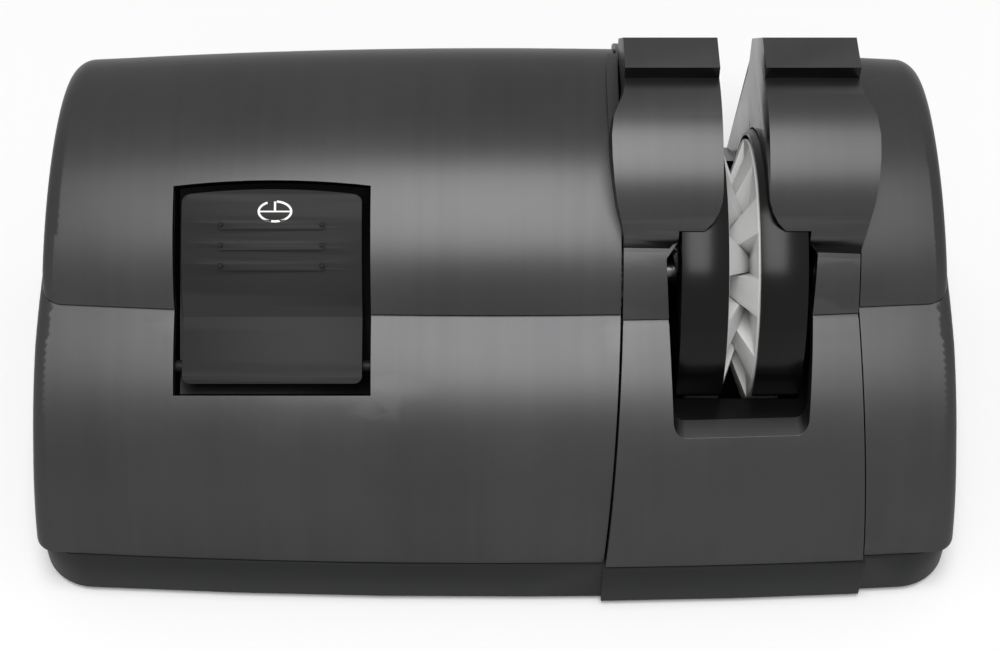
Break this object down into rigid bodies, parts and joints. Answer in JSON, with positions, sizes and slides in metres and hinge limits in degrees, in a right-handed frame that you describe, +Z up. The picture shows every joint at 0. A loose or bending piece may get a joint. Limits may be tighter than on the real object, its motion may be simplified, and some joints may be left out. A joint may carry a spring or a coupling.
{
  "type": "electric knife sharpener",
  "caption": "Table-top electric knife sharpener: barrel-shaped housing, twin towers with a knife slot over interleaved grinding wheels, tilting switch button.",
  "frame": {"origin": "centre of the footprint, on the table under the feet", "axes": "+X along the housing from the switch to the wheels, +Y from front to back, +Z up"},
  "size_m": [0.2, 0.1118, 0.0939],
  "materials": {
    "housing_grey": "satin metallic dark grey",
    "band_black": "fine matt black",
    "gloss_black": "polished black",
    "button_black": "soft matt black",
    "ceramic_white": "fine ground ceramic",
    "steel": "turned",
    "zinc_steel": "zinc plated sheet",
    "bronze": "sintered",
    "brass": "drawn",
    "gear_nylon": "moulded",
    "magnet": "sintered",
    "core_steel": "laminated",
    "board_green": "lacquered",
    "component_black": "moulded",
    "foot_rubber": "matt"
  },
  "bodies": {
    "housing": {"base_tray": "band_black", "body_shell": "housing_grey", "hood_left": "housing_grey", "hood_right": "housing_grey", "front_panel": "housing_grey", "head_cover": "housing_grey", "recess_tray": "gloss_black", "guard_left": "gloss_black", "guard_right": "gloss_black", "bearing_left": "bronze", "bearing_right": "bronze", "bearing_bracket_left": "zinc_steel", "bearing_bracket_right": "zinc_steel", "idler_axle": "steel", "motor_magnets": "magnet", "motor_can": "zinc_steel", "motor_end_cap": "component_black", "motor_bracket": "zinc_steel", "button_well": "gloss_black", "button_pin": "steel", "button_spring": "steel", "microswitch": "component_black", "circuit_board": "board_green", "smoothing_capacitor": "component_black", "bridge_rectifier": "component_black", "inlet_socket": "component_black", "inlet_pins": "brass", "case_screws": "steel", "foot_front_left": "foot_rubber", "foot_front_right": "foot_rubber", "foot_rear_right": "foot_rubber", "foot_rear_left": "foot_rubber"},
    "wheel_rotor": {"grinding_wheel_left": "ceramic_white", "grinding_wheel_right": "ceramic_white", "wheel_shaft": "steel", "wheel_clamp_nut": "steel", "output_gear": "gear_nylon"},
    "idler": {"idler_gear": "gear_nylon"},
    "motor_rotor": {"motor_shaft": "steel", "motor_armature": "core_steel", "motor_pinion": "brass"},
    "button": {"switch_button": "button_black"},
    "plunger": {"switch_plunger": "component_black"}
  },
  "joints": [
    {"name": "wheel_spin", "type": "hinge", "parent": "housing", "child": "wheel_rotor", "pos_m": [0.0515, 0.001, 0.047], "axis": [1, 0, 0], "continuous": true},
    {"name": "idler_spin", "type": "hinge", "parent": "housing", "child": "idler", "pos_m": [0.024, 0.00044, 0.02861], "axis": [1, 0, 0], "continuous": true},
    {"name": "motor_spin", "type": "hinge", "parent": "housing", "child": "motor_rotor", "pos_m": [0, 0.022, 0.03], "axis": [1, 0, 0], "continuous": true},
    {"name": "button_tilt", "type": "hinge", "parent": "housing", "child": "button", "pos_m": [-0.0466, -0.02666, 0.04733], "axis": [-1, 0, 0], "range_deg": [0, 4], "stiffness_Nm_per_rad": 0.4, "springref_deg": -4.58, "deforming": ["button_spring"]},
    {"name": "plunger_slide", "type": "slide", "parent": "housing", "child": "plunger", "axis": [0, 0.6428, -0.766], "range_m": [0, 0.00195]}
  ],
  "couplings": [
    {"joint": "idler_spin", "follows": "wheel_spin", "ratio": -2.2857},
    {"joint": "motor_spin", "follows": "wheel_spin", "ratio": 8},
    {"joint": "plunger_slide", "follows": "button_tilt", "m_per_rad": 0.027}
  ]
}
